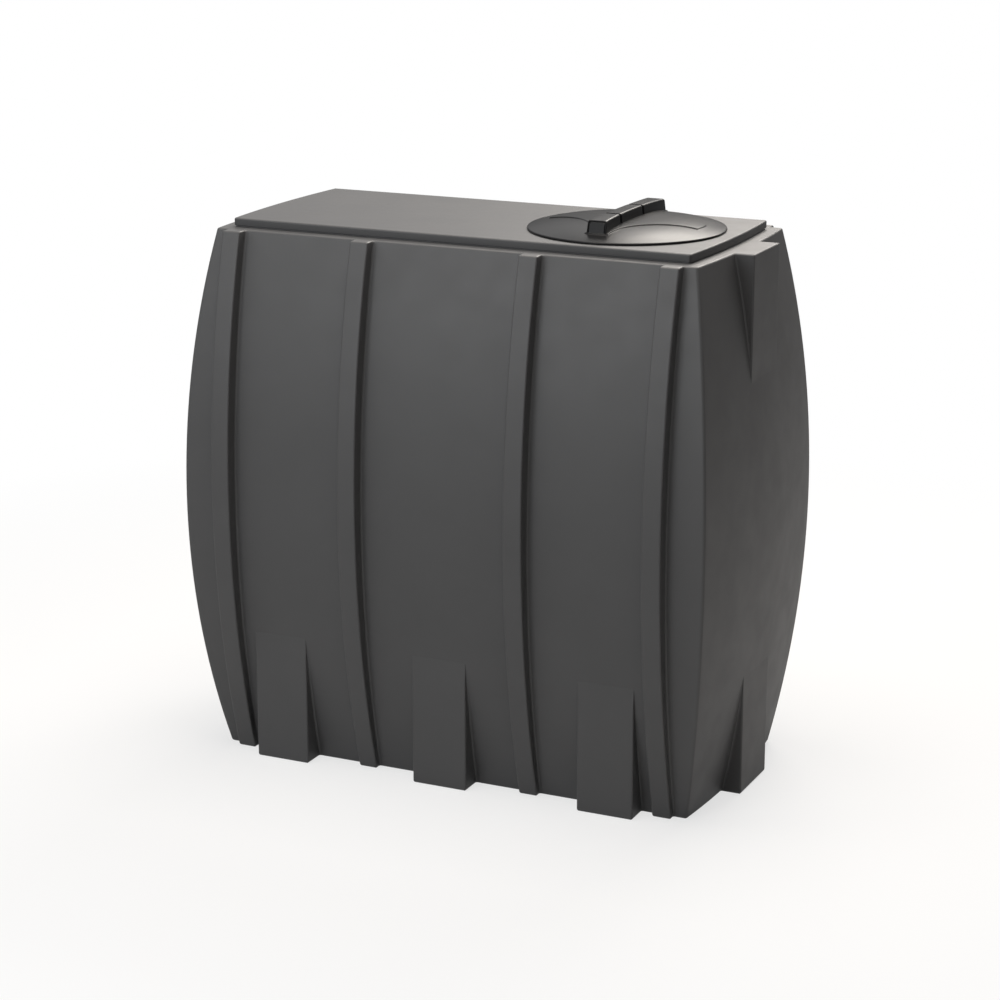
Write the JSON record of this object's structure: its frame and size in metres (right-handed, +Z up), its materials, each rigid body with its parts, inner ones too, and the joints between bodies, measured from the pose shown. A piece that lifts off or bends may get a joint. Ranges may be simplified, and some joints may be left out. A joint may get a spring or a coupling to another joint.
{
  "type": "slimline rainwater tank",
  "caption": "Upright rectangular moulded plastic rainwater tank with swollen ribbed sides, wedge feet, a raised deck and a round lift-off lid with a bar handle.",
  "frame": {"origin": "middle of the base, on the plane the tank stands on", "axes": "+X along the length towards the end nearest the lid, +Y to the rear, +Z up"},
  "size_m": [1.3598, 0.7802, 1.344],
  "materials": {
    "tank_plastic": "satin",
    "lid_plastic": "semi-gloss"
  },
  "bodies": {
    "tank": {"floor": "tank_plastic", "shoulder": "tank_plastic", "deck": "tank_plastic", "manhole_neck": "tank_plastic", "left_end": "tank_plastic", "right_end": "tank_plastic", "front_panel_1": "tank_plastic", "front_panel_2": "tank_plastic", "front_panel_3": "tank_plastic", "front_panel_4": "tank_plastic", "front_panel_5": "tank_plastic", "rear_panel_1": "tank_plastic", "rear_panel_2": "tank_plastic", "rear_panel_3": "tank_plastic", "rear_panel_4": "tank_plastic", "rear_panel_5": "tank_plastic", "front_rib_1": "tank_plastic", "front_rib_2": "tank_plastic", "front_rib_3": "tank_plastic", "front_rib_4": "tank_plastic", "rear_rib_1": "tank_plastic", "rear_rib_2": "tank_plastic", "rear_rib_3": "tank_plastic", "rear_rib_4": "tank_plastic", "front_foot_1": "tank_plastic", "front_foot_2": "tank_plastic", "front_foot_3": "tank_plastic", "rear_foot_1": "tank_plastic", "rear_foot_2": "tank_plastic", "rear_foot_3": "tank_plastic", "left_foot": "tank_plastic", "right_foot": "tank_plastic", "right_pad": "tank_plastic"},
    "lid": {"lid": "lid_plastic", "lid_handle": "lid_plastic"}
  },
  "joints": [
    {"name": "lid_lift", "type": "slide", "parent": "tank", "child": "lid", "axis": [0, 0, 1], "range_m": [0, 0.15]}
  ]
}
